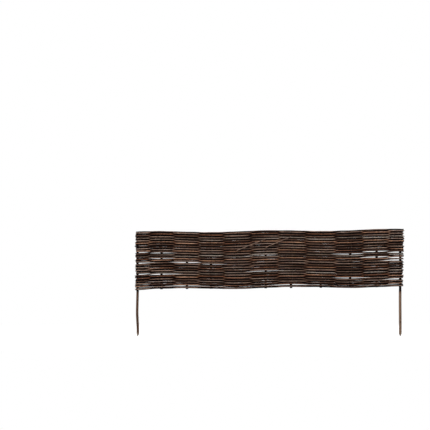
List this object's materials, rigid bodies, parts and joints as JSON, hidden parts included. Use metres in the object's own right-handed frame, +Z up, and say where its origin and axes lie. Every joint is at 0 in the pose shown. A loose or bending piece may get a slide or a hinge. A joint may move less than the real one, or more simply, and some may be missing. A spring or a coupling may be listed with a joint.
{
  "type": "woven willow hurdle",
  "caption": "Low garden edging panel of willow rods woven in and out of upright stakes, with a sharpened leg at each end to push into the soil.",
  "frame": {"origin": "on the ground line, midway between the two end stakes, in the plane of the stakes", "axes": "+X along the panel, +Y through it away from its front, +Z up along the stakes"},
  "size_m": [1.0015, 0.0215, 0.4003],
  "materials": {
    "stake_willow": "smooth bark",
    "brown_willow": "dry bark",
    "russet_willow": "dry bark",
    "grey_willow": "dry bark"
  },
  "bodies": {
    "root": {"left_end_stake": "stake_willow", "stake_02": "stake_willow", "stake_03": "stake_willow", "stake_04": "stake_willow", "stake_05": "stake_willow", "stake_06": "stake_willow", "stake_07": "stake_willow", "stake_08": "stake_willow", "stake_09": "stake_willow", "stake_10": "stake_willow", "right_end_stake": "stake_willow", "weaver_01": "brown_willow", "weaver_02": "brown_willow", "weaver_03": "russet_willow", "weaver_04": "brown_willow", "weaver_05": "brown_willow", "weaver_06": "brown_willow", "weaver_07": "brown_willow", "weaver_08": "brown_willow", "weaver_09": "russet_willow", "weaver_10": "russet_willow", "weaver_11": "brown_willow", "weaver_12": "grey_willow", "weaver_13": "grey_willow", "weaver_14": "brown_willow", "weaver_15": "brown_willow", "weaver_16": "russet_willow", "weaver_17": "brown_willow", "weaver_18": "brown_willow", "weaver_19": "brown_willow", "weaver_20": "brown_willow", "weaver_21": "brown_willow", "weaver_22": "russet_willow", "weaver_23": "russet_willow", "weaver_24": "brown_willow", "weaver_25": "grey_willow", "weaver_26": "grey_willow", "weaver_27": "brown_willow", "weaver_28": "brown_willow", "weaver_29": "russet_willow", "weaver_30": "brown_willow", "weaver_31": "brown_willow", "weaver_32": "brown_willow", "weaver_33": "brown_willow", "weaver_34": "brown_willow", "weaver_35": "russet_willow", "weaver_36": "russet_willow", "weaver_37": "brown_willow", "weaver_38": "grey_willow", "weaver_39": "grey_willow", "weaver_40": "brown_willow", "weaver_41": "brown_willow", "weaver_42": "russet_willow", "weaver_43": "brown_willow", "weaver_44": "brown_willow", "loose_tip_1": "brown_willow", "loose_tip_2": "brown_willow"}
  },
  "joints": []
}
